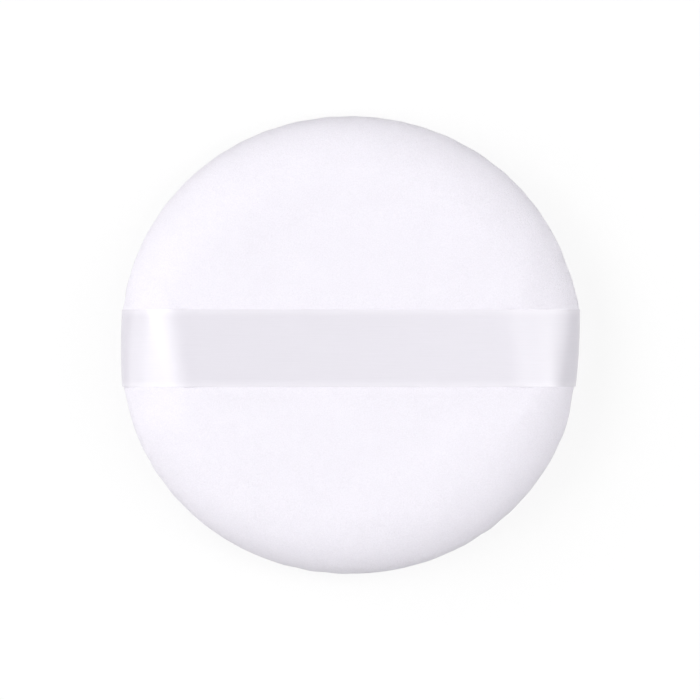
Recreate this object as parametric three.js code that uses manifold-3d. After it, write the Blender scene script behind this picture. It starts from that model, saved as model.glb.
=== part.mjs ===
// A round velour powder puff with a satin finger ribbon, in millimetres with +Z up.
// The origin is the middle of the face that the puff rests on, and the ribbon crosses the back along X.
// Two velour discs are sewn together over a sponge, and the edge seam catches both ends of the ribbon.
import * as THREE from "three";
import { mergeVertices } from "three/addons/utils/BufferGeometryUtils.js";
import loadManifold from "manifold-3d";

const wasm = await loadManifold();
wasm.setup();

// Driving dimensions of the puff
const PUFF_DIAMETER = 60;
const PUFF_THICKNESS = 12;
const FLAT_DIAMETER = 45;
const SHOULDER_POWER = 1.8;
const CLOTH_THICKNESS = 1.2;
const SEAM_ALLOWANCE = 4;
const RIM_ROLL = 0.6;

// Driving dimensions of the ribbon
const RIBBON_WIDTH = 10;
const RIBBON_THICKNESS = 0.3;
const RIBBON_OFFSET = -0.4;
const RIBBON_PULL = 0.75;

// Driving dimensions of the sewing
const THREAD_DIAMETER = 0.3;
const STITCH_LENGTH = 3;
const STITCH_INSET = 2.5;
const STITCH_DIP = 0.1;
const CLOSING_LENGTH = 20;
const CLOSING_BITE = 1.2;

// Clearances between neighbouring pieces, and between the plies of the seam
const FIT = 0.3;
const SEAM_FIT = 0.15;

// How finely round forms are stepped
const ROUND_STEPS = 60;
const OUTER_STEPS = 7;
const INNER_STEPS = 6;
const RIBBON_STEPS = 9;
const THREAD_SIDES = 5;
const STITCH_STEPS = 3;

// Levels and radii that follow, with heights taken from the plane of the seam
const PUFF_RADIUS = PUFF_DIAMETER / 2;
const HALF_HEIGHT = PUFF_THICKNESS / 2;
const FLAT_RADIUS = FLAT_DIAMETER / 2;
const THREAD_RADIUS = THREAD_DIAMETER / 2;
const SEAM_ROOM = Math.max(RIBBON_THICKNESS, THREAD_DIAMETER) / 2 + SEAM_FIT;
const RIM_BASE = SEAM_FIT + RIM_ROLL;
const FLANGE_TOP = SEAM_FIT + CLOTH_THICKNESS;
const FLANGE_RADIUS = PUFF_RADIUS - SEAM_ALLOWANCE;
const STITCH_HEIGHT = FLANGE_TOP + SEAM_FIT + STITCH_DIP + THREAD_RADIUS;
const GROOVE_TOP = STITCH_HEIGHT + THREAD_RADIUS + STITCH_DIP + FIT;
const SEAT_RADIUS = PUFF_RADIUS - RIBBON_PULL;
const RIBBON_INNER = SEAT_RADIUS + FIT;
const RIBBON_OUTER = RIBBON_INNER + RIBBON_THICKNESS;
const RIBBON_FOOT = SEAM_ROOM + FIT;
const RIBBON_BASE = RIBBON_FOOT + RIM_ROLL;

// Materials

function velour() {
  return new THREE.MeshStandardMaterial({ color: 0xf8f5fd, roughness: 0.95, metalness: 0 });
}

function satin() {
  return new THREE.MeshStandardMaterial({ color: 0xeae7ef, roughness: 0.38, metalness: 0 });
}

function sponge() {
  return new THREE.MeshStandardMaterial({ color: 0xf1ecdf, roughness: 0.9, metalness: 0 });
}

function sewingThread() {
  return new THREE.MeshStandardMaterial({ color: 0xf3f1f6, roughness: 0.7, metalness: 0 });
}

// Shared shapes

// Points of a pillow's edge, from the flat middle outward and down to the height named by end.
// The edge is a superellipse: it leaves the flat gently and stands upright at its full radius.
function shoulder({ radius, base, top, end }, steps) {
  const sweep = Math.acos((end - base) / (top - base));
  return Array.from({ length: steps + 1 }, (_, i) => {
    const angle = (sweep * i) / steps;
    const share = Math.sin(angle) ** (2 / SHOULDER_POWER);
    const x = FLAT_RADIUS + (radius - FLAT_RADIUS) * share;
    return new THREE.Vector2(x, base + (top - base) * Math.cos(angle));
  });
}

// Draws a round piece in where the ribbon holds it, so that each end of the ribbon lies on a short flat.
function drawInAtRibbon(geometry) {
  const position = geometry.getAttribute("position");
  const flatShare = SEAT_RADIUS / PUFF_RADIUS;
  for (let i = 0; i < position.count; i++) {
    const x = position.getX(i);
    const y = position.getY(i);
    const share = x === 0 ? 1 : Math.min(1, (flatShare * Math.hypot(x, y)) / Math.abs(x));
    position.setXY(i, x * share, y * share);
  }
  return geometry;
}

// Turns a profile of radii and heights about Z.
function turned(profile) {
  const geometry = new THREE.LatheGeometry(profile, ROUND_STEPS);
  return drawInAtRibbon(geometry.rotateX(Math.PI / 2));
}

// Gives an outline in X and Z the width of the ribbon, centred across Y.
function acrossRibbon(shape) {
  const geometry = new THREE.ExtrudeGeometry(shape, { depth: RIBBON_WIDTH, bevelEnabled: false });
  return geometry.rotateX(Math.PI / 2).translate(0, RIBBON_WIDTH / 2, 0);
}

// Cuts one closed geometry by others.
function cut(geometry, cutters) {
  const solids = [geometry, ...cutters].map((source) => {
    const bare = new THREE.BufferGeometry();
    bare.setAttribute("position", source.getAttribute("position"));
    bare.setIndex(source.getIndex());
    const merged = mergeVertices(bare);
    return new wasm.Manifold(new wasm.Mesh({
      numProp: 3,
      vertProperties: new Float32Array(merged.getAttribute("position").array),
      triVerts: new Uint32Array(merged.getIndex().array),
    }));
  });
  const mesh = solids.reduce((body, cutter) => body.subtract(cutter)).getMesh();
  const result = new THREE.BufferGeometry();
  result.setAttribute("position", new THREE.BufferAttribute(mesh.vertProperties, 3));
  result.setIndex(new THREE.BufferAttribute(mesh.triVerts, 1));
  result.computeVertexNormals();
  return result;
}

function namedMesh(name, geometry, material) {
  const mesh = new THREE.Mesh(geometry, material);
  mesh.name = name;
  return mesh;
}

// Puff

// The room that the ribbon's ends and the closing stitches take out of the facing seam allowances.
function seamRoom(turn) {
  const height = 2 * SEAM_ROOM;
  const ribbon = new THREE.BoxGeometry(PUFF_DIAMETER, RIBBON_WIDTH + 2 * FIT, height);
  const opening = new THREE.BoxGeometry(CLOSING_LENGTH + 2 * FIT, PUFF_DIAMETER, height);
  return [ribbon.translate(0, turn * RIBBON_OFFSET, 0), opening.translate(0, turn * PUFF_RADIUS, 0)];
}

// One velour disc as a shell above the seam: its edge rolls in and lies flat as the seam allowance.
// A turn of 1 makes the back, and -1 the face, which is turned over about X when it is placed.
function coverGeometry(turn) {
  const outer = shoulder({ radius: PUFF_RADIUS, base: RIM_BASE, top: HALF_HEIGHT, end: RIM_BASE }, OUTER_STEPS);
  const roll = [Math.PI / 4, Math.PI / 2].map((angle) => {
    const x = PUFF_RADIUS - RIM_ROLL + RIM_ROLL * Math.cos(angle);
    return new THREE.Vector2(x, RIM_BASE - RIM_ROLL * Math.sin(angle));
  });
  const flange = [
    new THREE.Vector2(FLANGE_RADIUS, SEAM_FIT),
    new THREE.Vector2(FLANGE_RADIUS, FLANGE_TOP),
  ];
  const ceiling = HALF_HEIGHT - CLOTH_THICKNESS;
  const wall = { radius: PUFF_RADIUS - CLOTH_THICKNESS, base: FLANGE_TOP, top: ceiling, end: FLANGE_TOP };
  const inner = shoulder(wall, INNER_STEPS).reverse();
  const crown = new THREE.Vector2(0, HALF_HEIGHT);
  const underside = new THREE.Vector2(0, ceiling);
  const shell = turned([crown, ...outer, ...roll, ...flange, ...inner, underside].reverse());
  return cut(shell, seamRoom(turn));
}

// The sponge fills the covers, and a groove round its edge holds the seam allowances and the stitches.
function coreGeometry() {
  const top = HALF_HEIGHT - CLOTH_THICKNESS - FIT;
  const edge = { radius: PUFF_RADIUS - CLOTH_THICKNESS - FIT, base: FLANGE_TOP, top, end: GROOVE_TOP };
  const upper = [
    new THREE.Vector2(0, top),
    ...shoulder(edge, INNER_STEPS),
    new THREE.Vector2(FLANGE_RADIUS - FIT, GROOVE_TOP),
  ];
  const lower = upper.map((point) => new THREE.Vector2(point.x, -point.y)).reverse();
  return turned([...upper, ...lower].reverse());
}

// Sewing

// One thread of the lockstitched seam, which dips at each stitch where it meets the other thread.
function seamThreadGeometry() {
  const radius = PUFF_RADIUS - STITCH_INSET;
  const stitches = Math.round((2 * Math.PI * radius) / STITCH_LENGTH);
  const geometry = new THREE.TorusGeometry(radius, THREAD_RADIUS, THREAD_SIDES, stitches * STITCH_STEPS);
  const position = geometry.getAttribute("position");
  for (let i = 0; i < position.count; i++) {
    const angle = Math.atan2(position.getY(i), position.getX(i));
    position.setZ(i, position.getZ(i) + STITCH_HEIGHT + STITCH_DIP * Math.cos(stitches * angle));
  }
  return drawInAtRibbon(geometry);
}

// The hand stitches that close the opening, run to and fro in the seam on the +Y side.
function closingThreadGeometry() {
  const stitches = Math.round(CLOSING_LENGTH / STITCH_LENGTH);
  const outer = PUFF_RADIUS - RIM_ROLL - THREAD_DIAMETER;
  const span = CLOSING_LENGTH / PUFF_RADIUS;
  const points = Array.from({ length: 2 * stitches + 1 }, (_, i) => {
    const angle = (Math.PI - span) / 2 + (span * i) / (2 * stitches);
    const radius = i % 2 === 0 ? outer : outer - CLOSING_BITE;
    return new THREE.Vector3(radius * Math.cos(angle), radius * Math.sin(angle), 0);
  });
  const section = Array.from({ length: THREAD_SIDES }, (_, i) => {
    const angle = (2 * Math.PI * i) / THREAD_SIDES;
    return new THREE.Vector2(THREAD_RADIUS * Math.cos(angle), THREAD_RADIUS * Math.sin(angle));
  });
  return new THREE.ExtrudeGeometry(new THREE.Shape(section), {
    steps: 2 * stitches * STITCH_STEPS,
    extrudePath: new THREE.CatmullRomCurve3(points),
    bevelEnabled: false,
  });
}

// Ribbon

// The strap over the back, from one side of the seam to the other.
function ribbonBandGeometry() {
  const base = RIBBON_BASE;
  const under = HALF_HEIGHT + FIT;
  const over = under + RIBBON_THICKNESS;
  const outside = shoulder({ radius: RIBBON_OUTER, base, top: over, end: base }, RIBBON_STEPS);
  const inside = shoulder({ radius: RIBBON_INNER, base, top: under, end: base }, RIBBON_STEPS);
  const right = [
    ...outside,
    new THREE.Vector2(RIBBON_OUTER, RIBBON_FOOT),
    new THREE.Vector2(RIBBON_INNER, RIBBON_FOOT),
    ...inside.reverse(),
  ];
  const left = right.map((point) => new THREE.Vector2(-point.x, point.y)).reverse();
  return acrossRibbon(new THREE.Shape([...right, ...left]));
}

// The end of the ribbon at +X: it folds in under the strap and lies between the two seam allowances.
function ribbonTabGeometry() {
  const half = RIBBON_THICKNESS / 2;
  const shape = new THREE.Shape();
  shape.moveTo(FLANGE_RADIUS, -half);
  shape.lineTo(RIBBON_INNER, -half);
  shape.absarc(RIBBON_INNER, half, RIBBON_THICKNESS, -Math.PI / 2, 0, false);
  shape.lineTo(RIBBON_OUTER, SEAM_ROOM);
  shape.lineTo(RIBBON_INNER, SEAM_ROOM);
  shape.lineTo(RIBBON_INNER, half);
  shape.lineTo(FLANGE_RADIUS, half);
  shape.closePath();
  return acrossRibbon(shape);
}

// Assembly

function sewnPuff() {
  const group = new THREE.Group();
  const faceCover = namedMesh("face_cover", coverGeometry(-1), velour());
  const bobbinThread = namedMesh("bobbin_thread", seamThreadGeometry(), sewingThread());
  faceCover.rotation.x = Math.PI;
  bobbinThread.rotation.x = Math.PI;
  group.add(
    namedMesh("back_cover", coverGeometry(1), velour()),
    faceCover,
    namedMesh("sponge_core", coreGeometry(), sponge()),
    namedMesh("needle_thread", seamThreadGeometry(), sewingThread()),
    bobbinThread,
    namedMesh("closing_thread", closingThreadGeometry(), sewingThread()),
  );
  return group;
}

function fingerRibbon() {
  const group = new THREE.Group();
  const leftTab = namedMesh("ribbon_left_tab", ribbonTabGeometry(), satin());
  leftTab.rotation.z = Math.PI;
  group.add(
    namedMesh("ribbon_band", ribbonBandGeometry(), satin()),
    namedMesh("ribbon_right_tab", ribbonTabGeometry(), satin()),
    leftTab,
  );
  group.position.y = RIBBON_OFFSET;
  return group;
}

const powderPuff = new THREE.Group();
powderPuff.name = "powder_puff";
powderPuff.add(sewnPuff(), fingerRibbon());
powderPuff.position.z = HALF_HEIGHT;

export default powderPuff;
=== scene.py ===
"""A round velour powder puff with a satin finger ribbon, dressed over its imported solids.

Every length is in metres, in the frame of the solids: the puff lies on its face at height 0,
+Z is up through the back, and the ribbon crosses the back along X.
"""

from __future__ import annotations

import logging
import math
from dataclasses import dataclass, field
from enum import Enum
from itertools import pairwise

import bpy
import numpy as np
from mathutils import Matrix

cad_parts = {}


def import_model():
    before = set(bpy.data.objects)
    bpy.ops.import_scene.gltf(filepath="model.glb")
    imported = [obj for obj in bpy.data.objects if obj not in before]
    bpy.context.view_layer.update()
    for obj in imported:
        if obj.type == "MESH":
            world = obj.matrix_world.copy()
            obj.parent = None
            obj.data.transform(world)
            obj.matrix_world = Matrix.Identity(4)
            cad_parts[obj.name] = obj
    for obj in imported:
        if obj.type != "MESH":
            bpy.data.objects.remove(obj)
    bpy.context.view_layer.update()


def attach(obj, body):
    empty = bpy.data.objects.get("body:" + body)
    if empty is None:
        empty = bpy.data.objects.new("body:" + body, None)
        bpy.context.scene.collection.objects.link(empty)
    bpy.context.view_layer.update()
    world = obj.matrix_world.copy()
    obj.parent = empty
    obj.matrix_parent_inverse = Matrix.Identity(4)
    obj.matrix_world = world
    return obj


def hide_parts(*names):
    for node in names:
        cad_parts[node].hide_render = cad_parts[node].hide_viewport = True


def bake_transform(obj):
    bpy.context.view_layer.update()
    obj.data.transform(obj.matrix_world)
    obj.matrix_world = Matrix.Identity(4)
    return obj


LOG = logging.getLogger("powder_puff")

Point = tuple[float, float, float]
Colour = tuple[float, float, float]

FULL_TURN = 2.0 * math.pi
QUARTER_TURN = 0.5 * math.pi
SEED_SIZE = 0.001
MERGE_GAP = 2e-6
WHITE = (1.0, 1.0, 1.0, 1.0)


class Side(Enum):
    """Which of the two velour discs a cover is, by the way that it faces."""

    BACK = 1
    FACE = -1


DENT_SEEDS = {Side.BACK: 5, Side.FACE: 7}
PUCKER_SEEDS = {Side.BACK: 11, Side.FACE: 23}


@dataclass(frozen=True)
class Ramp:
    """A smooth change between two values, which weighs how far an effect reaches."""

    low: float
    high: float

    def rise(self, value: np.ndarray) -> np.ndarray:
        """Returns weights that grow from 0 at low to 1 at high."""
        share = np.clip((value - self.low) / (self.high - self.low), 0.0, 1.0)
        return share * share * (3.0 - 2.0 * share)

    def fall(self, value: np.ndarray) -> np.ndarray:
        """Returns weights that drop from 1 at low to 0 at high."""
        return 1.0 - self.rise(value)


@dataclass(frozen=True)
class Shoulder:
    """The round of a pillow's edge: flat out to a radius, then down along a power curve."""

    flat_radius: float
    power: float

    def points(self, radius: float, base: float, top: float, end: float,
               steps: int) -> list[tuple[float, float]]:
        """Gives the points of the edge, from its flat middle outward and down.

        Args:
            radius: the edge's full radius.
            base: height where the edge stands upright.
            top: height of the flat middle.
            end: height where the points stop.
            steps: number of steps.

        Returns:
            Pairs of radius and height.
        """
        sweep = math.acos((end - base) / (top - base))
        points = []
        for step in range(steps + 1):
            angle = sweep * step / steps
            share = math.sin(angle) ** (2.0 / self.power)
            points.append((self.flat_radius + (radius - self.flat_radius) * share,
                           base + (top - base) * math.cos(angle)))
        return points


class Bench:
    """The few hand moves that every piece is modelled with."""

    @staticmethod
    def clear() -> None:
        """Leaves edit mode and deselects everything."""
        if bpy.context.object is not None and bpy.context.object.mode != "OBJECT":
            bpy.ops.object.mode_set(mode="OBJECT")
        bpy.ops.object.select_all(action="DESELECT")

    @staticmethod
    def pick(piece: bpy.types.Object) -> None:
        """Makes one piece the only selected and the active one.

        Args:
            piece: the piece to pick.
        """
        Bench.clear()
        piece.select_set(True)
        bpy.context.view_layer.objects.active = piece

    @staticmethod
    def settle(piece: bpy.types.Object) -> None:
        """Applies a piece's place, turn and scale to its mesh."""
        Bench.pick(piece)
        bpy.ops.object.transform_apply(location=True, rotation=True, scale=True)

    @staticmethod
    def face_outward() -> None:
        """Turns all faces of the piece that is edited outward, and leaves edit mode in order."""
        bpy.ops.mesh.select_all(action="SELECT")
        bpy.ops.mesh.normals_make_consistent(inside=False)
        bpy.ops.object.mode_set(mode="OBJECT")
        Bench.put_in_order(bpy.context.object)

    @staticmethod
    def line(name: str, points: list[Point]) -> bpy.types.Object:
        """Draws an open line by extruding one corner from point to point, and stays in edit mode.

        Args:
            name: the new piece's name.
            points: the corners of the line, in order.

        Returns:
            The new piece, with the whole line selected.
        """
        Bench.clear()
        bpy.ops.mesh.primitive_plane_add(size=SEED_SIZE, location=points[0])
        piece = bpy.context.object
        piece.name = name
        piece.data.name = name
        Bench.settle(piece)
        bpy.ops.object.mode_set(mode="EDIT")
        bpy.ops.mesh.select_all(action="SELECT")
        bpy.ops.mesh.merge(type="CENTER")
        for start, end in pairwise(points):
            move = tuple(b - a for a, b in zip(start, end))
            bpy.ops.mesh.extrude_vertices_move(TRANSFORM_OT_translate={"value": move})
        bpy.ops.mesh.select_all(action="SELECT")
        return piece

    @staticmethod
    def turned(name: str, profile: list[tuple[float, float]], steps: int) -> bpy.types.Object:
        """Spins a profile about Z, merges its seam and poles, and faces it outward.

        Args:
            name: the new piece's name.
            profile: pairs of radius and height.
            steps: how many steps make the full turn.

        Returns:
            The turned piece, in object mode.
        """
        piece = Bench.line(name, [(radius, 0.0, height) for radius, height in profile])
        bpy.ops.mesh.spin(steps=steps, angle=FULL_TURN, center=(0, 0, 0), axis=(0, 0, 1))
        bpy.ops.mesh.select_all(action="SELECT")
        bpy.ops.mesh.remove_doubles(threshold=MERGE_GAP)
        Bench.face_outward()
        return piece

    @staticmethod
    def put_in_order(piece: bpy.types.Object) -> None:
        """Numbers corners and faces by their places, so that every run gives the same mesh.

        Args:
            piece: the piece, in object mode.
        """
        mesh = piece.data
        spots = Bench.corners(piece)
        order = np.lexsort(np.round(spots / MERGE_GAP).T)
        rank = np.argsort(order).tolist()
        faces = []
        for face in mesh.polygons:
            loop = [rank[index] for index in face.vertices]
            first = loop.index(min(loop))
            faces.append(loop[first:] + loop[:first])
        mesh.clear_geometry()
        mesh.from_pydata(spots[order].tolist(), [], sorted(faces))
        mesh.update()

    @staticmethod
    def choose(piece: bpy.types.Object, chosen: np.ndarray) -> None:
        """Goes into edit mode with only these corners selected, and what lies between them.

        Args:
            piece: the piece to edit.
            chosen: one true or false for each corner.
        """
        Bench.pick(piece)
        mesh = piece.data
        mesh.polygons.foreach_set("select", np.zeros(len(mesh.polygons), dtype=bool))
        mesh.edges.foreach_set("select", np.zeros(len(mesh.edges), dtype=bool))
        mesh.vertices.foreach_set("select", chosen)
        bpy.ops.object.mode_set(mode="EDIT")
        bpy.ops.mesh.select_mode(type="VERT")

    @staticmethod
    def strand(route: np.ndarray, radius: float, closed: bool) -> bpy.types.Object:
        """Sweeps a round strand along a route.

        Args:
            route: rows of x, y and z.
            radius: the strand's radius.
            closed: whether the last point joins the first.

        Returns:
            The strand, as a mesh.
        """
        Bench.clear()
        bpy.ops.mesh.primitive_circle_add(vertices=len(route), radius=SEED_SIZE,
                                          fill_type="NOTHING")
        piece = bpy.context.object
        Bench.settle(piece)
        Bench.move(piece, route)
        if not closed:
            ends = np.zeros(len(route), dtype=bool)
            ends[[0, -1]] = True
            Bench.choose(piece, ends)
            bpy.ops.mesh.delete(type="EDGE")
        Bench.pick(piece)
        bpy.ops.object.convert(target="CURVE")
        piece = bpy.context.object
        piece.data.bevel_depth = radius
        piece.data.bevel_resolution = 1
        piece.data.use_fill_caps = not closed
        bpy.ops.object.convert(target="MESH")
        return bpy.context.object

    @staticmethod
    def corners(piece: bpy.types.Object) -> np.ndarray:
        """Reads where the piece's corners are.

        Args:
            piece: the piece to read.

        Returns:
            Rows of x, y and z.
        """
        spots = np.empty(3 * len(piece.data.vertices))
        piece.data.vertices.foreach_get("co", spots)
        return spots.reshape(-1, 3)

    @staticmethod
    def reach(spots: np.ndarray) -> np.ndarray:
        """Returns how far each corner is from the puff's axis."""
        return np.hypot(spots[:, 0], spots[:, 1])

    @staticmethod
    def move(piece: bpy.types.Object, spots: np.ndarray) -> None:
        """Puts the piece's corners at these rows of x, y and z."""
        piece.data.vertices.foreach_set("co", spots.ravel())
        piece.data.update()

    @staticmethod
    def thicken(piece: bpy.types.Object, thickness: float, offset: float) -> None:
        """Gives a sheet its thickness.

        Args:
            piece: the sheet.
            thickness: its wall's thickness.
            offset: -1 to thicken inward, 0 to thicken to both sides.
        """
        wall = piece.modifiers.new("wall", "SOLIDIFY")
        wall.thickness = thickness
        wall.offset = offset
        Bench.apply(piece, wall.name)

    @staticmethod
    def apply(piece: bpy.types.Object, name: str) -> None:
        """Applies one of the piece's modifiers."""
        Bench.pick(piece)
        bpy.ops.object.modifier_apply(modifier=name)

    @staticmethod
    def smooth(piece: bpy.types.Object, degrees: float) -> None:
        """Shades the piece smoothly, with sharp edges only past an angle."""
        Bench.pick(piece)
        bpy.ops.object.shade_smooth_by_angle(angle=math.radians(degrees))

    @staticmethod
    def clothe(piece: bpy.types.Object, finish: bpy.types.Material) -> None:
        """Gives the piece its one material."""
        piece.data.materials.clear()
        piece.data.materials.append(finish)


class Nodes:
    """Builds node trees: a thin layer that places nodes and feeds them by socket name."""

    def __init__(self, tree: bpy.types.NodeTree) -> None:
        """Keeps the tree that the nodes go into."""
        self.tree = tree

    def add(self, kind: str, **settings: object) -> bpy.types.Node:
        """Adds a node and sets its properties.

        Args:
            kind: the node's type name.
            settings: property names and values.

        Returns:
            The new node.
        """
        node = self.tree.nodes.new(kind)
        for name, value in settings.items():
            setattr(node, name, value)
        return node

    def feed(self, node: bpy.types.Node, values: dict[str | int, object]) -> None:
        """Links or sets some of a node's inputs.

        Args:
            node: the node to feed.
            values: a socket or a constant for each input, by its name or index.
        """
        for key, value in values.items():
            if isinstance(value, bpy.types.NodeSocket):
                self.tree.links.new(value, node.inputs[key])
            else:
                node.inputs[key].default_value = value

    def math(self, operation: str, *operands: object) -> bpy.types.NodeSocket:
        """Adds a Math node.

        Args:
            operation: the Math node's operation.
            operands: sockets or numbers.

        Returns:
            The node's result.
        """
        node = self.add("ShaderNodeMath", operation=operation)
        self.feed(node, dict(enumerate(operands)))
        return node.outputs[0]

    def scaled(self, colour: bpy.types.NodeSocket,
               factor: bpy.types.NodeSocket) -> bpy.types.NodeSocket:
        """Multiplies a colour by a factor.

        Args:
            colour: the colour.
            factor: the factor.

        Returns:
            The scaled colour.
        """
        node = self.add("ShaderNodeVectorMath", operation="SCALE")
        self.feed(node, {0: colour, "Scale": factor})
        return node.outputs["Vector"]

    def mixed(self, share: object, first: bpy.types.NodeSocket,
              second: bpy.types.NodeSocket) -> bpy.types.NodeSocket:
        """Mixes two shaders.

        Args:
            share: how much of the second shows, as a socket or a number.
            first: the first shader.
            second: the second shader.

        Returns:
            The mixed shader.
        """
        node = self.add("ShaderNodeMixShader")
        self.feed(node, {"Fac": share, 1: first, 2: second})
        return node.outputs["Shader"]

    def group(self, tree: bpy.types.NodeTree, output: str,
              **values: object) -> bpy.types.NodeSocket:
        """Places a node group and feeds its inputs.

        Args:
            tree: the shared group.
            output: the name of the output that is wanted.
            values: a socket or a constant for each named input.

        Returns:
            The output.
        """
        node = self.add("ShaderNodeGroup", node_tree=tree)
        self.feed(node, values)
        return node.outputs[output]


class SharedEffects:
    """Shader effects that more than one finish uses, each built once as a node group."""

    def __init__(self) -> None:
        """Builds the groups."""
        self.tone_drift = self._tone_drift()
        self.fibre = self._fibre()

    @staticmethod
    def _new(name: str, inputs: dict[str, str],
             outputs: dict[str, str]) -> tuple[Nodes, dict, bpy.types.Node]:
        """Starts a group with its sockets.

        Args:
            name: the group's name.
            inputs: socket name to socket type.
            outputs: socket name to socket type.

        Returns:
            The node layer, the input sockets by name, and the node that takes the outputs.
        """
        tree = bpy.data.node_groups.new(name, "ShaderNodeTree")
        for way, sockets in (("INPUT", inputs), ("OUTPUT", outputs)):
            for label, kind in sockets.items():
                tree.interface.new_socket(name=label, in_out=way, socket_type=kind)
        layer = Nodes(tree)
        entry = layer.add("NodeGroupInput")
        return layer, dict(entry.outputs.items()), layer.add("NodeGroupOutput")

    @classmethod
    def _tone_drift(cls) -> bpy.types.NodeTree:
        """Builds soft patches that lighten and darken a colour, as handled cloth and foam have.

        Returns:
            The group's tree.
        """
        layer, given, result = cls._new(
            "tone_drift",
            {"Place": "NodeSocketVector", "Colour": "NodeSocketColor", "Scale": "NodeSocketFloat",
             "Depth": "NodeSocketFloat"},
            {"Colour": "NodeSocketColor"},
        )
        patch = layer.add("ShaderNodeTexNoise", noise_dimensions="3D")
        layer.feed(patch, {"Vector": given["Place"], "Scale": given["Scale"], "Detail": 3.0,
                           "Roughness": 0.55})
        centred = layer.math("SUBTRACT", patch.outputs["Fac"], 0.5)
        swing = layer.math("MULTIPLY", centred, given["Depth"])
        factor = layer.math("ADD", swing, 1.0)
        layer.feed(result, {"Colour": layer.scaled(given["Colour"], factor)})
        return layer.tree

    @classmethod
    def _fibre(cls) -> bpy.types.NodeTree:
        """Builds fine fibre grain, drawn out along one direction by a scale for each axis.

        Returns:
            The group's tree.
        """
        layer, given, result = cls._new(
            "fibre",
            {"Place": "NodeSocketVector", "Scales": "NodeSocketVector"},
            {"Grain": "NodeSocketFloat"},
        )
        drawn = layer.add("ShaderNodeVectorMath", operation="MULTIPLY")
        layer.feed(drawn, {0: given["Place"], 1: given["Scales"]})
        grain = layer.add("ShaderNodeTexNoise", noise_dimensions="3D")
        layer.feed(grain, {"Vector": drawn.outputs["Vector"], "Scale": 1.0, "Detail": 4.0,
                           "Roughness": 0.6})
        layer.feed(result, {"Grain": grain.outputs["Fac"]})
        return layer.tree


def new_material(name: str) -> tuple[bpy.types.Material, Nodes, bpy.types.Node]:
    """Starts a material with an empty Principled shader.

    Args:
        name: the material's name.

    Returns:
        The material, its node layer and its shader.
    """
    material = bpy.data.materials.new(name)
    material.use_nodes = True
    return material, Nodes(material.node_tree), material.node_tree.nodes["Principled BSDF"]


def bumped(layer: Nodes, shader: bpy.types.Node, height: bpy.types.NodeSocket, depth: float,
           strength: float, under: bpy.types.Node | None = None) -> bpy.types.Node:
    """Puts a bump on a shader, over an earlier one where there is one.

    Args:
        layer: the material's node layer.
        shader: the shader that takes the normal.
        height: the height that makes the bump.
        depth: the bump's real depth in metres.
        strength: how much of it shows.
        under: an earlier bump node.

    Returns:
        The bump node.
    """
    bump = layer.add("ShaderNodeBump")
    layer.feed(bump, {"Height": height, "Distance": depth, "Strength": strength})
    if under is not None:
        layer.feed(bump, {"Normal": under.outputs["Normal"]})
    layer.feed(shader, {"Normal": bump.outputs["Normal"]})
    return bump


@dataclass(frozen=True)
class Velour:
    """Short dense pile: matte, with a faint nap and a soft sheen."""

    colour: Colour = (0.925, 0.898, 0.968)
    patch_scale: float = 150.0
    patch_depth: float = 0.030
    nap_scale: float = 6000.0
    nap_depth: float = 0.16
    pile_scales: Point = (7800.0, 3400.0, 6000.0)
    pile_depth: float = 0.00011
    pile_strength: float = 0.9
    tuft_scales: Point = (2100.0, 1300.0, 1700.0)
    tuft_depth: float = 0.00014
    tuft_strength: float = 0.35
    roughness: float = 0.86
    roughness_swing: float = 0.12
    specular: float = 0.2
    sheen: float = 0.20
    sheen_roughness: float = 0.45
    sheen_tint: Colour = (1.0, 0.985, 1.0)

    def material(self, effects: SharedEffects) -> bpy.types.Material:
        """Builds the material.

        Args:
            effects: the shared node groups.

        Returns:
            The velour material.
        """
        material, layer, shader = new_material("velour")
        place = layer.add("ShaderNodeTexCoord").outputs["Object"]
        drift = layer.group(effects.tone_drift, "Colour", Place=place, Colour=(*self.colour, 1.0),
                            Scale=self.patch_scale, Depth=self.patch_depth)
        nap = layer.group(effects.tone_drift, "Colour", Place=place, Colour=drift,
                          Scale=self.nap_scale, Depth=self.nap_depth)
        pile = layer.group(effects.fibre, "Grain", Place=place, Scales=self.pile_scales)
        tuft = layer.group(effects.fibre, "Grain", Place=place, Scales=self.tuft_scales)
        layer.feed(shader, {
            "Base Color": nap,
            "Roughness": layer.math("MULTIPLY_ADD", pile, self.roughness_swing, self.roughness),
            "Specular IOR Level": self.specular,
            "Sheen Weight": self.sheen,
            "Sheen Roughness": self.sheen_roughness,
            "Sheen Tint": (*self.sheen_tint, 1.0),
        })
        soft = bumped(layer, shader, tuft, self.tuft_depth, self.tuft_strength)
        bumped(layer, shader, pile, self.pile_depth, self.pile_strength, soft)
        return material


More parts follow.
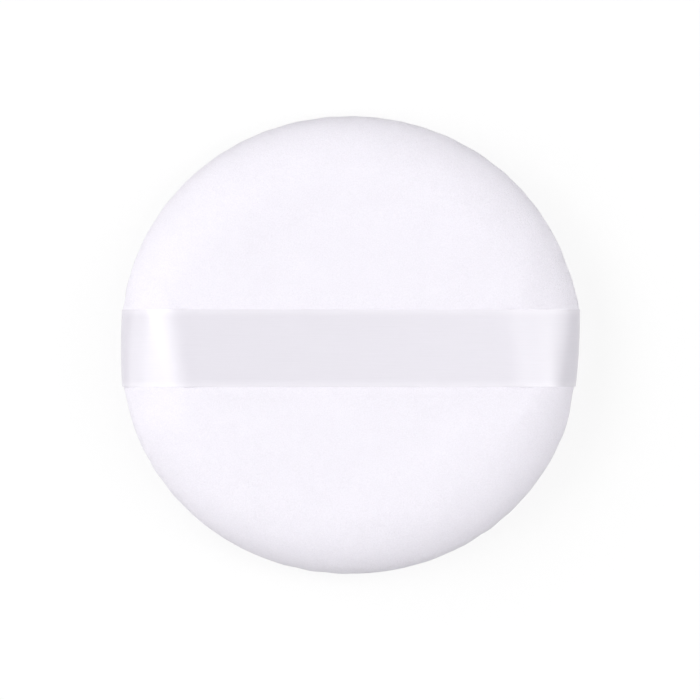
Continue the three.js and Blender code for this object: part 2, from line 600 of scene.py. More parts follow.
@dataclass(frozen=True)
class Satin:
    """Satin ribbon: long floats that gleam where the ribbon turns over, and edges painted paler,
    as painted light for the light that shows through the thin ribbon there.
    """

    colour: Colour = (0.693, 0.669, 0.733)
    # Painted light: the edges are painted paler than the middle, for light that shows through the
    # thin ribbon.
    painted_edge_light: Colour = (0.755, 0.730, 0.792)
    edge_start: float = 0.0039
    edge_end: float = 0.0050
    patch_scale: float = 90.0
    patch_depth: float = 0.02
    float_scales: Point = (160.0, 9000.0, 1.0)
    float_depth: float = 0.00003
    float_strength: float = 0.6
    float_tone: float = 0.08
    roughness: float = 0.24
    roughness_swing: float = 0.12
    specular: float = 1.0
    ior: float = 1.6

    def material(self, effects: SharedEffects) -> bpy.types.Material:
        """Builds the material, on the ribbon's own UV map of metres along and across.

        Args:
            effects: the shared node groups.

        Returns:
            The satin material.
        """
        material, layer, shader = new_material("satin_ribbon")
        weave = layer.add("ShaderNodeUVMap", uv_map="weave").outputs["UV"]
        drift = layer.group(effects.tone_drift, "Colour", Place=weave, Colour=(*self.colour, 1.0),
                            Scale=self.patch_scale, Depth=self.patch_depth)
        floats = layer.group(effects.fibre, "Grain", Place=weave, Scales=self.float_scales)
        way = layer.add("ShaderNodeSeparateXYZ")
        layer.feed(way, {"Vector": weave})
        # Painted light: a paler band along both edges, standing for light that shows through the
        # thin ribbon.
        edge = layer.add("ShaderNodeMapRange", interpolation_type="SMOOTHSTEP")
        layer.feed(edge, {"Value": layer.math("ABSOLUTE", way.outputs["Y"]),
                          "From Min": self.edge_start, "From Max": self.edge_end})
        tone = layer.add("ShaderNodeMixRGB")
        layer.feed(tone, {"Fac": edge.outputs["Result"], "Color1": drift,
                          "Color2": (*self.painted_edge_light, 1.0)})
        lit = layer.math("MULTIPLY_ADD", floats, self.float_tone, 1.0 - 0.5 * self.float_tone)
        layer.feed(shader, {
            "Base Color": layer.scaled(tone.outputs["Color"], lit),
            "Roughness": layer.math("MULTIPLY_ADD", floats, self.roughness_swing, self.roughness),
            "Specular IOR Level": self.specular,
            "IOR": self.ior,
        })
        bumped(layer, shader, floats, self.float_depth, self.float_strength)
        return material


@dataclass(frozen=True)
class Foam:
    """Fine-celled cosmetic sponge."""

    colour: Colour = (0.87, 0.83, 0.73)
    patch_scale: float = 120.0
    patch_depth: float = 0.08
    cell_scale: float = 1800.0
    cell_depth: float = 0.0003
    cell_strength: float = 0.8
    roughness: float = 0.95
    specular: float = 0.2

    def material(self, effects: SharedEffects) -> bpy.types.Material:
        """Builds the material.

        Args:
            effects: the shared node groups.

        Returns:
            The sponge material.
        """
        material, layer, shader = new_material("sponge")
        place = layer.add("ShaderNodeTexCoord").outputs["Object"]
        drift = layer.group(effects.tone_drift, "Colour", Place=place, Colour=(*self.colour, 1.0),
                            Scale=self.patch_scale, Depth=self.patch_depth)
        cells = layer.add("ShaderNodeTexVoronoi", feature="SMOOTH_F1")
        layer.feed(cells, {"Vector": place, "Scale": self.cell_scale})
        layer.feed(shader, {"Base Color": drift, "Roughness": self.roughness,
                            "Specular IOR Level": self.specular})
        bumped(layer, shader, cells.outputs["Distance"], self.cell_depth, self.cell_strength)
        return material


@dataclass(frozen=True)
class SewingThread:
    """Spun polyester thread."""

    colour: Colour = (0.88, 0.86, 0.91)
    patch_scale: float = 800.0
    patch_depth: float = 0.06
    grain_scale: float = 9000.0
    grain_depth: float = 0.00003
    grain_strength: float = 0.5
    roughness: float = 0.62

    def material(self, effects: SharedEffects) -> bpy.types.Material:
        """Builds the material.

        Args:
            effects: the shared node groups.

        Returns:
            The thread material.
        """
        material, layer, shader = new_material("sewing_thread")
        place = layer.add("ShaderNodeTexCoord").outputs["Object"]
        drift = layer.group(effects.tone_drift, "Colour", Place=place, Colour=(*self.colour, 1.0),
                            Scale=self.patch_scale, Depth=self.patch_depth)
        grain = layer.group(effects.fibre, "Grain", Place=place, Scales=(self.grain_scale,) * 3)
        layer.feed(shader, {"Base Color": drift, "Roughness": self.roughness})
        bumped(layer, shader, grain, self.grain_depth, self.grain_strength)
        return material


@dataclass(frozen=True)
class PuffForm:
    """Sizes of the puff that its pieces share, with heights taken from the plane of the seam."""

    radius: float = 0.030
    half_height: float = 0.006
    shoulder: Shoulder = Shoulder(0.0234, 1.5)
    rim_roll: float = 0.0007
    seam_half_gap: float = 0.00006
    allowance: float = 0.004
    cloth: float = 0.0012
    closing_length: float = 0.020
    above_seam: Ramp = Ramp(0.0, 0.002)
    # The outline is a little oval and a little square, away from the ribbon.
    oval: float = 0.00014
    square: float = 0.00010
    outline_free: Ramp = Ramp(0.006, 0.014)
    # The ribbon lies a little off the middle, and its ends are sewn a little askew.
    ribbon_width: float = 0.010
    ribbon_offset: float = -0.0004
    left_early: float = 0.0005
    left_slant: float = 0.0008
    right_slant: float = -0.0008
    slant_start: Ramp = Ramp(0.014, 0.023)
    slant_end: Ramp = Ramp(0.0255, 0.0296)
    slant_half_widths: Ramp = Ramp(1.0, 2.2)
    slant_limit: float = 1.2
    end_skew: float = 0.000275
    skew_start: Ramp = Ramp(0.018, 0.028)
    # The ribbon draws the edge in and presses the shoulder down under it.
    ribbon_pull: float = 0.00035
    pull_under: Ramp = Ramp(0.0025, 0.0054)
    edge_pull: float = 0.00010
    pull_beside: Ramp = Ramp(0.0054, 0.0095)
    pull_outer: Ramp = Ramp(0.0225, 0.0285)
    ribbon_press: float = 0.00022
    press_across: Ramp = Ramp(0.0048, 0.0085)
    press_start: Ramp = Ramp(0.0200, 0.0230)
    press_end: Ramp = Ramp(0.0260, 0.0290)

    @property
    def rim_base(self) -> float:
        """Height above the seam where the outer wall stands upright."""
        return self.seam_half_gap + self.rim_roll

    def across(self, spots: np.ndarray) -> np.ndarray:
        """Returns how far each corner is from the ribbon's middle line, to either side."""
        return np.abs(spots[:, 1] - self.ribbon_offset)

    def out_of_round(self, spots: np.ndarray) -> np.ndarray:
        """Draws corners in or out by their bearing, because a sewn puff is not a true circle.

        Args:
            spots: rows of x, y and z.

        Returns:
            The moved rows.
        """
        bearing = np.arctan2(spots[:, 1], spots[:, 0])
        swing = self.oval * np.cos(2.0 * bearing) - self.square * np.cos(4.0 * bearing)
        free = self.outline_free.rise(self.across(spots))
        moved = spots.copy()
        moved[:, :2] *= (1.0 + swing * free / self.radius)[:, None]
        return moved

    def slant(self, spots: np.ndarray, over_back: bool = True) -> np.ndarray:
        """Tells how far along X the ribbon's sewing draws each corner, because it is askew.

        Args:
            spots: rows of x, y and z.
            over_back: whether the corners above the seam are on the ribbon's side of the puff.

        Returns:
            The distances along X.
        """
        along = np.abs(spots[:, 0])
        across = (spots[:, 1] - self.ribbon_offset) / (0.5 * self.ribbon_width)
        near = self.slant_half_widths.fall(np.abs(across))
        across = np.clip(across, -self.slant_limit, self.slant_limit)
        turning = self.slant_start.rise(along) * self.slant_end.fall(along)
        turning *= self.above_seam.rise(spots[:, 2]) * over_back
        left = self.left_early - self.left_slant * across
        right = self.right_slant * across
        skew = self.end_skew * across * self.skew_start.rise(spots[:, 0])
        return near * (np.where(spots[:, 0] < 0.0, left, right) * turning + skew)

    def drawn_in(self, spots: np.ndarray, over_back: bool = True) -> np.ndarray:
        """Gives corners the puff's outline, drawn in where the ribbon wraps over the edge.

        Args:
            spots: rows of x, y and z.
            over_back: whether the corners above the seam are on the ribbon's side of the puff.

        Returns:
            The moved rows.
        """
        reach, across = Bench.reach(spots), self.across(spots)
        pull = self.ribbon_pull * self.pull_under.fall(across)
        pull += self.edge_pull * self.pull_beside.fall(across)
        moved = self.out_of_round(spots)
        moved[:, :2] *= (1.0 - pull / self.radius * self.pull_outer.rise(reach))[:, None]
        moved[:, 0] += self.slant(spots, over_back)
        press = self.ribbon_press * self.press_across.fall(across) * over_back
        press *= self.press_start.rise(reach) * self.press_end.fall(reach)
        moved[:, 2] -= press * self.above_seam.rise(spots[:, 2])
        return moved


def sew_in(piece: bpy.types.Object, finish: bpy.types.Material, node: str) -> None:
    """Gives a piece its finish, and lets it stand for a solid and move with the puff.

    Args:
        piece: the finished piece.
        finish: its material.
        node: the solid that it stands for.
    """
    Bench.clothe(piece, finish)
    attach(piece, "puff")
    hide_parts(node)


@dataclass
class Cover:
    """One velour disc, turned in at the seam and filled out over the sponge."""

    form: PuffForm
    side: Side
    fill: float = 0.85
    turn_steps: int = 240
    shoulder_steps: int = 44
    roll_steps: int = 6
    flange_steps: int = 6
    sharp_degrees: float = 60.0
    # The cloth is held by the seam, by the ribbon and by what the puff lies on.
    seam_hold: float = 0.0012
    face_hold: Ramp = Ramp(0.017, 0.022)
    back_hold: Ramp = Ramp(0.012, 0.020)
    ribbon_hold: Ramp = Ramp(0.0050, 0.0115)
    # The sponge pushes the rest of it out in a trial on an enlarged copy.
    trial_scale: float = 10.0
    trial_frames: int = 20
    trial_quality: int = 6
    trial_pressure: float = 4.0
    stretch_stiffness: float = 12.0
    shear_stiffness: float = 6.0
    bending_stiffness: float = 1.0
    swell_cap: float = 0.00020
    # The skin is shallowly uneven, and gathered at the seam.
    dent_depth: float = 0.000015
    dent_waves: int = 14
    dent_lengths: tuple[float, float] = (0.007, 0.016)
    dent_heights: Ramp = Ramp(0.0008, 0.004)
    pucker_depth: float = 0.00010
    pucker_reach: float = 0.0016
    pucker_counts: tuple[int, ...] = (37, 46, 53, 61)
    pucker_level: float = 2.4
    pucker_outer: Ramp = Ramp(0.027, 0.0285)
    # The seam parts for the ribbon's ends and for the closing stitches.
    ribbon_room: float = 0.00016
    room_across: Ramp = Ramp(0.0049, 0.0059)
    room_outer: Ramp = Ramp(0.020, 0.024)
    closing_room: float = 0.00004
    closing_fade: float = 0.0015
    room_heights: Ramp = Ramp(0.0, 0.0016)
    # The pile stands up beside the ribbon, on a strip that is cut finer.
    pile_stand: float = 0.00014
    strip_edges: tuple[float, float] = (0.0038, 0.0075)
    strip_height: float = 0.0015
    strip_cuts: int = 2
    stand_start: Ramp = Ramp(0.0045, 0.0051)
    stand_end: Ramp = Ramp(0.0053, 0.0080)
    stand_heights: Ramp = Ramp(0.0022, 0.0042)
    piece: bpy.types.Object | None = field(default=None, init=False)

    @property
    def name(self) -> str:
        """The piece's name."""
        return "velour_back" if self.side is Side.BACK else "velour_face"

    @property
    def node(self) -> str:
        """The solid that the piece stands for."""
        return "back_cover" if self.side is Side.BACK else "face_cover"

    def build(self) -> None:
        """Models the cover: a turned skin, filled out, gathered at the seam and given its wall."""
        self._turn_skin()
        spots = Bench.corners(self.piece)
        flip = np.array([1.0, self.side.value, 1.0])
        spots = self.form.drawn_in(spots * flip, self.side is Side.BACK) * flip
        Bench.move(self.piece, spots)
        spots = self._filled_out(spots)
        spots = self._opened(self._puckered(self._dented(spots)))
        if self.side is Side.FACE:
            spots[:, 2] = np.minimum(spots[:, 2], self.form.half_height)
            spots[:, 1:] *= -1.0
        spots[:, 2] += self.form.half_height
        Bench.move(self.piece, spots)
        if self.side is Side.BACK:
            self._nestle()
        Bench.thicken(self.piece, self.form.cloth, -1.0)
        Bench.smooth(self.piece, self.sharp_degrees)

    def _turn_skin(self) -> None:
        """Turns the shoulder, the rolled edge and the seam allowance, and grids the flat over."""
        form = self.form
        profile = form.shoulder.points(form.radius, form.rim_base, form.half_height, form.rim_base,
                                       self.shoulder_steps)
        for step in range(1, self.roll_steps + 1):
            angle = QUARTER_TURN * step / self.roll_steps
            profile.append((form.radius - form.rim_roll * (1.0 - math.cos(angle)),
                            form.rim_base - form.rim_roll * math.sin(angle)))
        start, inside = form.radius - form.rim_roll, form.radius - form.allowance
        for step in range(1, self.flange_steps + 1):
            profile.append((start + (inside - start) * step / self.flange_steps,
                            form.seam_half_gap))
        self.piece = Bench.turned(self.name, profile, self.turn_steps)
        on_flat = Bench.reach(Bench.corners(self.piece)) < form.shoulder.flat_radius + 1e-5
        Bench.choose(self.piece, on_flat)
        bpy.ops.mesh.fill_grid(span=self.turn_steps // 4)
        Bench.face_outward()

    def _held(self, spots: np.ndarray) -> np.ndarray:
        """Tells how firmly each corner is held while the cloth fills out.

        Args:
            spots: rows of x, y and z.

        Returns:
            Weights from 0, free, to 1, held.
        """
        reach = Bench.reach(spots)
        base = self.form.rim_base
        seam = Ramp(base, base + self.seam_hold).fall(spots[:, 2])
        if self.side is Side.FACE:
            return np.maximum(seam, self.face_hold.fall(reach))
        pressed = self.ribbon_hold.fall(self.form.across(spots))
        return np.maximum(np.maximum(seam, self.back_hold.fall(reach)), pressed)

    def _filled_out(self, spots: np.ndarray) -> np.ndarray:
        """Lets the sponge push the cloth out, by a cloth simulation on an enlarged copy.

        Args:
            spots: rows of x, y and z before the simulation.

        Returns:
            The rows after it, none moved further than the cap.
        """
        Bench.pick(self.piece)
        bpy.ops.object.duplicate()
        trial = bpy.context.object
        trial.scale = (self.trial_scale,) * 3
        Bench.settle(trial)
        group = trial.vertex_groups.new(name="held")
        for index, weight in enumerate(self._held(spots)):
            group.add([index], float(weight), "REPLACE")
        cloth = trial.modifiers.new("fill", "CLOTH")
        cloth.settings.quality = self.trial_quality
        cloth.settings.tension_stiffness = self.stretch_stiffness
        cloth.settings.compression_stiffness = self.stretch_stiffness
        cloth.settings.shear_stiffness = self.shear_stiffness
        cloth.settings.bending_stiffness = self.bending_stiffness
        cloth.settings.use_pressure = True
        cloth.settings.uniform_pressure_force = self.trial_pressure
        cloth.settings.effector_weights.gravity = 0.0
        cloth.settings.vertex_group_mass = group.name
        cloth.point_cache.frame_start = 1
        cloth.point_cache.frame_end = self.trial_frames
        for frame in range(1, self.trial_frames + 1):
            bpy.context.scene.frame_set(frame)
        Bench.apply(trial, cloth.name)
        moved = Bench.corners(trial) / self.trial_scale - spots
        bpy.context.scene.frame_set(1)
        bpy.data.meshes.remove(trial.data)
        far = np.linalg.norm(moved, axis=1)
        LOG.info("%s: filled out by up to %.2f mm", self.name, 1000.0 * far.max())
        capped = self.swell_cap * np.tanh(far / self.swell_cap) / np.maximum(far, 1e-9)
        return spots + moved * capped[:, None]

    def _dented(self, spots: np.ndarray) -> np.ndarray:
        """Gives the skin the shallow unevenness of cloth over sponge.

        Args:
            spots: rows of x, y and z.

        Returns:
            The moved rows.
        """
        rng = np.random.default_rng(DENT_SEEDS[self.side])
        wave = np.zeros(len(spots))
        for _ in range(self.dent_waves):
            heading = rng.uniform(0.0, FULL_TURN)
            length = rng.uniform(*self.dent_lengths)
            run = spots[:, 0] * math.cos(heading) + spots[:, 1] * math.sin(heading)
            wave += np.sin(FULL_TURN * run / length + rng.uniform(0.0, FULL_TURN))
        wave *= self.dent_depth / math.sqrt(0.5 * self.dent_waves)
        free = 1.0 - self._held(spots) * (self.side is Side.FACE)
        moved = spots.copy()
        moved[:, 2] += wave * self.dent_heights.rise(spots[:, 2]) * free
        return moved

    def _puckered(self, spots: np.ndarray) -> np.ndarray:
        """Gathers the cloth a little where it turns into the seam.

        Args:
            spots: rows of x, y and z.

        Returns:
            The moved rows.
        """
        rng = np.random.default_rng(PUCKER_SEEDS[self.side])
        angle = np.arctan2(spots[:, 1], spots[:, 0])
        reach = Bench.reach(spots)
        wave = np.zeros(len(spots))
        for count in self.pucker_counts:
            wave += rng.uniform(0.5, 1.0) * np.sin(count * angle + rng.uniform(0.0, FULL_TURN))
        wave /= self.pucker_level
        above = np.maximum(spots[:, 2] - self.form.seam_half_gap, 0.0)
        near = np.exp(-above / self.pucker_reach) * self.pucker_outer.rise(reach)
        moved = spots.copy()
        shift = self.pucker_depth * wave * near / np.maximum(reach, 1e-6)
        moved[:, :2] *= (1.0 + shift)[:, None]
        return moved

    def _opened(self, spots: np.ndarray) -> np.ndarray:
        """Parts the rolled edge a little where the ribbon's ends and the closing stitches go in.

        Args:
            spots: rows of x, y and z.

        Returns:
            The moved rows.
        """
        flip = self.side.value
        across = np.abs(spots[:, 1] - flip * self.form.ribbon_offset)
        room = self.room_across.fall(across) * self.room_outer.rise(np.abs(spots[:, 0]))
        along = np.abs(np.arctan2(spots[:, 0], flip * spots[:, 1])) * self.form.radius
        half = 0.5 * self.form.closing_length
        closing = Ramp(half, half + self.closing_fade).fall(along)
        parted = np.maximum(self.ribbon_room * room, self.closing_room * closing)
        moved = spots.copy()
        moved[:, 2] += self.room_heights.fall(spots[:, 2]) * parted
        return moved

    def _nestle(self) -> None:
        """Cuts the skin finer along the ribbon's edges, and lets the pile stand up beside it."""
        form = self.form
        spots = Bench.corners(self.piece)
        across = form.across(spots)
        beside = (across > self.strip_edges[0]) & (across < self.strip_edges[1])
        Bench.choose(self.piece, beside & (spots[:, 2] > form.half_height + self.strip_height))
        bpy.ops.mesh.subdivide(number_cuts=self.strip_cuts)
        bpy.ops.object.mode_set(mode="OBJECT")
        spots = Bench.corners(self.piece)
        outward = np.empty(spots.size)
        self.piece.data.vertices.foreach_get("normal", outward)
        across = form.across(spots)
        stand = self.stand_start.rise(across) * self.stand_end.fall(across)
        stand *= self.stand_heights.rise(spots[:, 2] - form.half_height)
        spots += self.pile_stand * stand[:, None] * outward.reshape(-1, 3)
        Bench.move(self.piece, spots)

    def dress(self, finish: bpy.types.Material) -> None:
        """Gives the cover its cloth and joins it to the puff.

        Args:
            finish: the velour.
        """
        sew_in(self.piece, finish, self.node)


@dataclass
class SpongeCore:
    """The sponge inside the covers, with a groove round its edge for the seam allowances."""

    form: PuffForm
    fill: float = 1.0
    clearance: float = 0.0003
    groove_height: float = 0.0022
    shoulder_steps: int = 18
    turn_steps: int = 120
    sharp_degrees: float = 40.0
    piece: bpy.types.Object | None = field(default=None, init=False)

    def build(self) -> None:
        """Models the sponge as one turned solid."""
        form = self.form
        top = form.half_height - form.cloth - self.clearance
        base = form.seam_half_gap + form.cloth
        radius = form.radius - form.cloth - self.clearance
        upper = [(0.0, top), (0.5 * form.shoulder.flat_radius, top)]
        upper += form.shoulder.points(radius, base, top, self.groove_height, self.shoulder_steps)
        upper.append((form.radius - form.allowance - self.clearance, self.groove_height))
        lower = [(reach, -height) for reach, height in reversed(upper)]
        self.piece = Bench.turned("sponge_disc", upper + lower, self.turn_steps)
        spots = form.drawn_in(Bench.corners(self.piece))
        spots[:, 2] += form.half_height
        Bench.move(self.piece, spots)
        Bench.smooth(self.piece, self.sharp_degrees)

    def dress(self, finish: bpy.types.Material) -> None:
        """Gives the sponge its cells and joins it to the puff.

        Args:
            finish: the foam.
        """
        sew_in(self.piece, finish, "sponge_core")


@dataclass
class FingerRibbon:
    """The satin ribbon across the back, whose ends are caught in the seam."""

    form: PuffForm
    shoulder: Shoulder = Shoulder(0.0205, 2.0)
    thickness: float = 0.00016
    reach: float = 0.02972
    rise: float = 0.00620
    fold: float = 0.00035
    tail: float = 0.026
    tail_step: float = 0.0005
    tail_steps: int = 5
    flat_steps: int = 20
    shoulder_steps: int = 48
    fold_steps: int = 6
    columns: int = 24
    sharp_degrees: float = 50.0
    end_round: float = 0.00014
    round_start: Ramp = Ramp(0.022, 0.029)
    edge_settle: float = 0.00008
    settle_heights: Ramp = Ramp(0.0004, 0.003)
    sewn_height: float = 0.0085
    lifted_height: float = 0.0121
    piece: bpy.types.Object | None = field(default=None, init=False)
    length: float = field(default=0.0, init=False)

    def path(self) -> list[tuple[float, float]]:
        """Gives the ribbon's route over the back, from its left tail to its right one.

        Returns:
            Pairs of x and height above the seam.
        """
        base = self.form.rim_base
        half = [(self.shoulder.flat_radius * step / self.flat_steps, self.rise)
                for step in range(self.flat_steps)]
        half += self.shoulder.points(self.reach, base, self.rise, base, self.shoulder_steps)
        half.append((self.reach, 0.5 * (base + self.fold)))
        for step in range(self.fold_steps + 1):
            angle = QUARTER_TURN * step / self.fold_steps
            half.append((self.reach - self.fold * (1.0 - math.cos(angle)),
                         self.fold * (1.0 - math.sin(angle))))
        half += [(self.reach - self.fold - self.tail_step * step, 0.0)
                 for step in range(1, self.tail_steps + 1)]
        half.append((self.tail, 0.0))
        return [(-x, z) for x, z in reversed(half[1:])] + half

    def build(self) -> None:
        """Models the ribbon as one woven sheet: a line over the back, drawn out across."""
        route = self.path()
        width = self.form.ribbon_width
        start = self.form.ribbon_offset - 0.5 * width
        self.piece = Bench.line("satin_ribbon", [(x, start, z) for x, z in route])
        step = {"value": (0, width / self.columns, 0)}
        for _ in range(self.columns):
            bpy.ops.mesh.extrude_edges_move(TRANSFORM_OT_translate=step)
        Bench.face_outward()
        self._map_weave(np.array(route))
        self._shape()
        Bench.thicken(self.piece, self.thickness, 0.0)
        Bench.smooth(self.piece, self.sharp_degrees)

    def _map_weave(self, route: np.ndarray) -> None:
        """Lays a UV map of metres along and across the ribbon, before it is shaped.

        Args:
            route: rows of x and height above the seam.
        """
        steps = np.linalg.norm(np.diff(route, axis=0), axis=1)
        run = np.concatenate([[0.0], np.cumsum(steps)])
        self.length = float(run[-1])
        spots = Bench.corners(self.piece)
        gaps = spots[:, None, [0, 2]] - route[None]
        nearest = np.argmin((gaps ** 2).sum(axis=2), axis=1)
        place = np.column_stack([run[nearest], spots[:, 1] - self.form.ribbon_offset])
        order = np.empty(len(self.piece.data.loops), dtype=int)
        self.piece.data.loops.foreach_get("vertex_index", order)
        layer = self.piece.data.uv_layers.new(name="weave")
        layer.data.foreach_set("uv", place[order].ravel())

    def _shape(self) -> None:
        """Settles the ribbon's edges on the velour, and rounds and slants its ends."""
        spots = Bench.corners(self.piece)
        across = (spots[:, 1] - self.form.ribbon_offset) / (0.5 * self.form.ribbon_width)
        drawn = self.form.slant(spots)
        spots[:, 2] -= self.edge_settle * across ** 2 * self.settle_heights.rise(spots[:, 2])
        at_end = np.sign(spots[:, 0]) * self.round_start.rise(np.abs(spots[:, 0]))
        spots[:, 0] += drawn - self.end_round * across ** 2 * at_end
        spots[:, 2] += self.form.half_height
        Bench.move(self.piece, spots)

    def dress(self, finish: bpy.types.Material) -> None:
        """Gives the ribbon its satin, and hides the solids that it stands for.

        Args:
            finish: the satin.
        """
        Bench.clothe(self.piece, finish)
        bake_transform(self.piece)
        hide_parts("ribbon_band", "ribbon_left_tab", "ribbon_right_tab")


@dataclass
class TwoPlyThread:
    """One sewing thread, twisted from two plies, laid along a route."""

    name: str
    node: str
    route: np.ndarray
    closed: bool
    ply: float = 0.000075
    lay: float = 0.0011
    sharp_degrees: float = 60.0
    piece: bpy.types.Object | None = field(default=None, init=False)

    def build(self) -> None:
        """Models both plies round the route and joins them."""
        plies = [self._ply(phase) for phase in (0.0, math.pi)]
        Bench.clear()
        for ply in plies:
            ply.select_set(True)
        bpy.context.view_layer.objects.active = plies[0]
        bpy.ops.object.join()
        self.piece = bpy.context.object
        self.piece.name = self.name
        self.piece.data.name = self.name
        Bench.smooth(self.piece, self.sharp_degrees)

    def _ply(self, phase: float) -> bpy.types.Object:
        """Models one ply as a round strand that winds about the route.

        Args:
            phase: where round the route it starts, in radians.

        Returns:
            The ply, as a mesh.
        """
        ahead = np.roll(self.route, -1, axis=0) - np.roll(self.route, 1, axis=0)
        if not self.closed:
            ahead[0] = self.route[1] - self.route[0]
            ahead[-1] = self.route[-1] - self.route[-2]
        ahead /= np.linalg.norm(ahead, axis=1)[:, None]
        beside = np.empty_like(ahead)
        guide = np.array([0.0, 0.0, 1.0])
        for index, heading in enumerate(ahead):
            guide = guide - heading * guide.dot(heading)
            guide = guide / np.linalg.norm(guide)
            beside[index] = guide
        above = np.cross(ahead, beside)
        steps = np.linalg.norm(np.diff(self.route, axis=0), axis=1)
        run = np.concatenate([[0.0], np.cumsum(steps)])
        whole = run[-1] + np.linalg.norm(self.route[0] - self.route[-1]) * self.closed
        turns = max(1, round(whole / self.lay))
        angle = (FULL_TURN * turns * run / whole + phase)[:, None]
        winding = self.ply * (np.cos(angle) * beside + np.sin(angle) * above)
        return Bench.strand(self.route + winding, self.ply, self.closed)

    def dress(self, finish: bpy.types.Material) -> None:
        """Gives the thread its finish and joins it to the puff.

        Args:
            finish: the thread's material.
        """
        sew_in(self.piece, finish, self.node)


@dataclass
class Sewing:
    """The edge seam's needle and bobbin threads, and the stitches that close the opening."""

    form: PuffForm
    inset: float = 0.0025
    stitch: float = 0.003
    seam_height: float = 0.00150
    seam_dip: float = 0.00030
    dip_sharpness: int = 6
    steps_each: int = 14
    bar_spacing: float = 0.0016
    bar_radius: float = 0.02962
    bar_half: float = 0.00022
    fold_radius: float = 0.0288
    fold_height: float = 0.00045
    closing_steps: int = 5
    closing_eases: int = 3
    threads: list[TwoPlyThread] = field(default_factory=list, init=False)

    def build(self) -> None:
        """Lays the three threads."""
        needle, bobbin = self._seam_route(1.0), self._seam_route(-1.0)
        self.threads = [
            TwoPlyThread("needle_stitches", "needle_thread", needle, True),
            TwoPlyThread("bobbin_stitches", "bobbin_thread", bobbin, True),
            TwoPlyThread("closing_stitches", "closing_thread", self._closing_route(), False),
        ]
        for thread in self.threads:
            thread.build()

    def _seam_route(self, way: float) -> np.ndarray:
        """Runs a lockstitch round the seam allowance, with a dip at every needle hole.

        Args:
            way: 1 for the needle thread over the back's allowance, -1 for the bobbin thread.

        Returns:
            Rows of x, y and z, closed.
        """
        radius = self.form.radius - self.inset
        stitches = round(FULL_TURN * radius / self.stitch)
        angle = np.linspace(0.0, FULL_TURN, stitches * self.steps_each, endpoint=False)
        dip = self.seam_dip * (0.5 + 0.5 * np.cos(stitches * angle)) ** self.dip_sharpness
        height = way * (self.seam_height - dip)
        route = np.column_stack([radius * np.cos(angle), radius * np.sin(angle), height])
        route = self.form.drawn_in(route)
        route[:, 2] += self.form.half_height
        return route

    def _closing_route(self) -> np.ndarray:
        """Runs a ladder stitch along the opening: bars over the seam, joined inside the folds.

        Returns:
            Rows of x, y and z, open.
        """
        bars = round(self.form.closing_length / self.bar_spacing)
        rung = ((self.fold_radius, self.fold_height), (self.bar_radius, self.bar_half),
                (self.bar_radius, -self.bar_half), (self.fold_radius, -self.fold_height))
        corners = []
        for bar in range(bars + 1):
            angle = QUARTER_TURN + (bar - 0.5 * bars) * self.bar_spacing / self.form.radius
            way = 1.0 if bar % 2 == 0 else -1.0
            for radius, height in rung:
                corners.append((radius * math.cos(angle), radius * math.sin(angle),
                                self.form.half_height + way * height))
        corners = np.array(corners)
        knots = np.arange(len(corners), dtype=float)
        fine = np.linspace(0.0, knots[-1], self.closing_steps * len(corners))
        route = np.column_stack([np.interp(fine, knots, corners[:, axis]) for axis in range(3)])
        for _ in range(self.closing_eases):
            route[1:-1] = 0.25 * route[:-2] + 0.5 * route[1:-1] + 0.25 * route[2:]
        return self.form.out_of_round(route)

    def dress(self, finish: bpy.types.Material) -> None:
        """Gives every thread its finish.

        Args:
            finish: the thread's material.
        """
        for thread in self.threads:
            thread.dress(finish)


@dataclass(frozen=True)
class Softbox:
    """One square soft lamp: bearing and elevation in degrees, side in metres, power in watts."""

    name: str
    bearing: float
    elevation: float
    side: float
    power: float


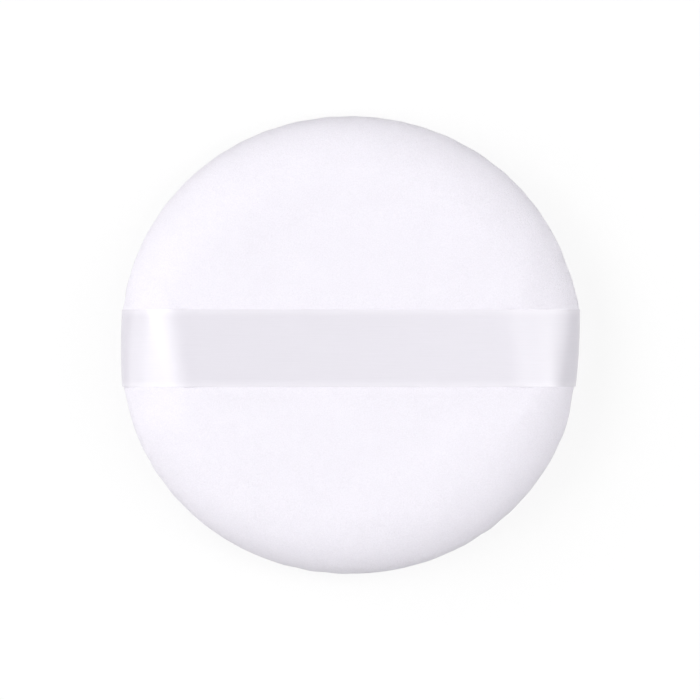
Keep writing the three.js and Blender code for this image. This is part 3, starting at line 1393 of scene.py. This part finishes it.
@dataclass
class Studio:
    """Plain soft studio: a pale floor, soft lamps and a camera straight above the puff."""

    lamps: tuple[Softbox, ...] = (
        Softbox("left_key", 177.0, 53.0, 0.38, 1.58),
        Softbox("left_bank", 180.0, 31.0, 0.80, 0.37),
        Softbox("left_bank_far", 140.0, 33.0, 0.50, 1.52),
        Softbox("left_bank_near", 220.0, 33.0, 0.50, 0.78),
        Softbox("left_rim", 190.0, 14.0, 0.50, 0.82),
        Softbox("right_key", 0.0, 54.0, 0.36, 0.84),
        Softbox("right_key_low", 0.0, 42.0, 0.36, 0.32),
        Softbox("right_top", 0.0, 76.0, 0.20, 0.32),
        Softbox("right_bank", 8.0, 28.0, 0.50, 0.94),
        Softbox("right_bank_far", 38.0, 33.0, 0.50, 0.28),
        Softbox("right_rim", 328.0, 16.0, 0.50, 0.42),
        Softbox("overhead", 0.0, 80.0, 0.40, 0.44),
    )
    lamp_distance: float = 0.75
    floor_side: float = 6.0
    floor_bounce: float = 0.60
    shadow_share: float = 0.2
    sky: float = 0.211
    camera_height: float = 0.6
    sensor_width: float = 36.0
    clip_start: float = 0.01
    frame_width: float = 0.0912
    equator: float = 0.006
    object_rise: float = 0.00065

    def build(self) -> None:
        """Sets the floor, the world, the lamps and the camera."""
        bpy.context.scene.view_settings.view_transform = "Standard"
        self._floor()
        self._world()
        for lamp in self.lamps:
            self._hang(lamp)
        self._camera()

    def _floor(self) -> None:
        """Lays a white floor that keeps a soft shadow and sends back less light than it shows."""
        Bench.clear()
        bpy.ops.mesh.primitive_plane_add(size=self.floor_side, location=(0, 0, 0))
        floor = bpy.context.object
        floor.name = "studio_floor"
        material, layer, shader = new_material("studio_floor")
        layer.feed(shader, {"Base Color": (self.floor_bounce,) * 3 + (1.0,), "Roughness": 1.0,
                            "Specular IOR Level": 0.0})
        shaded = layer.add("ShaderNodeBsdfDiffuse")
        layer.feed(shaded, {"Color": WHITE})
        glow = layer.add("ShaderNodeEmission")
        layer.feed(glow, {"Strength": 1.0})
        backdrop = layer.mixed(self.shadow_share, glow.outputs["Emission"], shaded.outputs["BSDF"])
        surface = layer.mixed(self._seen(layer), shader.outputs["BSDF"], backdrop)
        layer.feed(material.node_tree.nodes["Material Output"], {"Surface": surface})
        floor.data.materials.append(material)

    @staticmethod
    def _seen(layer: Nodes) -> bpy.types.NodeSocket:
        """Tells rays that show the backdrop from those that carry light.

        Args:
            layer: the node layer to build in.

        Returns:
            1 for rays that show the backdrop, and 0 for the others.
        """
        rays = layer.add("ShaderNodeLightPath").outputs
        mirrored = layer.math("MAXIMUM", rays["Is Glossy Ray"], rays["Is Transmission Ray"])
        return layer.math("MAXIMUM", rays["Is Camera Ray"], mirrored)

    def _world(self) -> None:
        """Makes a white world that lights at a plain level."""
        world = bpy.data.worlds.new("studio")
        world.use_nodes = True
        bpy.context.scene.world = world
        layer = Nodes(world.node_tree)
        lit = world.node_tree.nodes["Background"]
        layer.feed(lit, {"Color": WHITE, "Strength": self.sky})
        shown = layer.add("ShaderNodeBackground")
        layer.feed(shown, {"Strength": 1.0})
        surface = layer.mixed(self._seen(layer), lit.outputs["Background"],
                              shown.outputs["Background"])
        layer.feed(world.node_tree.nodes["World Output"], {"Surface": surface})

    def _hang(self, lamp: Softbox) -> None:
        """Hangs one softbox, turned to the puff.

        Args:
            lamp: the softbox.
        """
        Bench.clear()
        bearing, elevation = math.radians(lamp.bearing), math.radians(lamp.elevation)
        out = self.lamp_distance * math.cos(elevation)
        place = (out * math.cos(bearing), out * math.sin(bearing),
                 self.lamp_distance * math.sin(elevation))
        turn = (QUARTER_TURN - elevation, 0.0, bearing + QUARTER_TURN)
        bpy.ops.object.light_add(type="AREA", location=place, rotation=turn)
        light = bpy.context.object
        light.name = lamp.name
        light.data.shape = "SQUARE"
        light.data.size = lamp.side
        light.data.energy = lamp.power

    def _camera(self) -> None:
        """Hangs the camera straight above, with the puff at its place in the frame."""
        Bench.clear()
        place = (0.0, -self.object_rise, self.camera_height)
        bpy.ops.object.camera_add(location=place, rotation=(0, 0, 0))
        camera = bpy.context.object
        distance = self.camera_height - self.equator
        camera.data.sensor_width = self.sensor_width
        camera.data.lens = self.sensor_width * distance / self.frame_width
        camera.data.clip_start = self.clip_start
        bpy.context.scene.camera = camera


def note(piece: bpy.types.Object) -> None:
    """Reports a finished piece."""
    LOG.info("%s: %d corners", piece.name, len(piece.data.vertices))


def main() -> None:
    """Builds the puff piece by piece, lights it and notes its size."""
    logging.basicConfig(level=logging.INFO, format="%(message)s")
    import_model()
    effects = SharedEffects()
    form = PuffForm()
    Studio().build()
    velour = Velour().material(effects)
    for side in Side:
        cover = Cover(form, side)
        cover.build()
        cover.dress(velour)
        note(cover.piece)
    core = SpongeCore(form)
    core.build()
    core.dress(Foam().material(effects))
    note(core.piece)
    ribbon = FingerRibbon(form)
    ribbon.build()
    ribbon.dress(Satin().material(effects))
    note(ribbon.piece)
    LOG.info("%s: %.1f mm long", ribbon.piece.name, 1000.0 * ribbon.length)
    sewing = Sewing(form)
    sewing.build()
    sewing.dress(SewingThread().material(effects))
    for thread in sewing.threads:
        note(thread.piece)


if __name__ == "__main__":
    main()
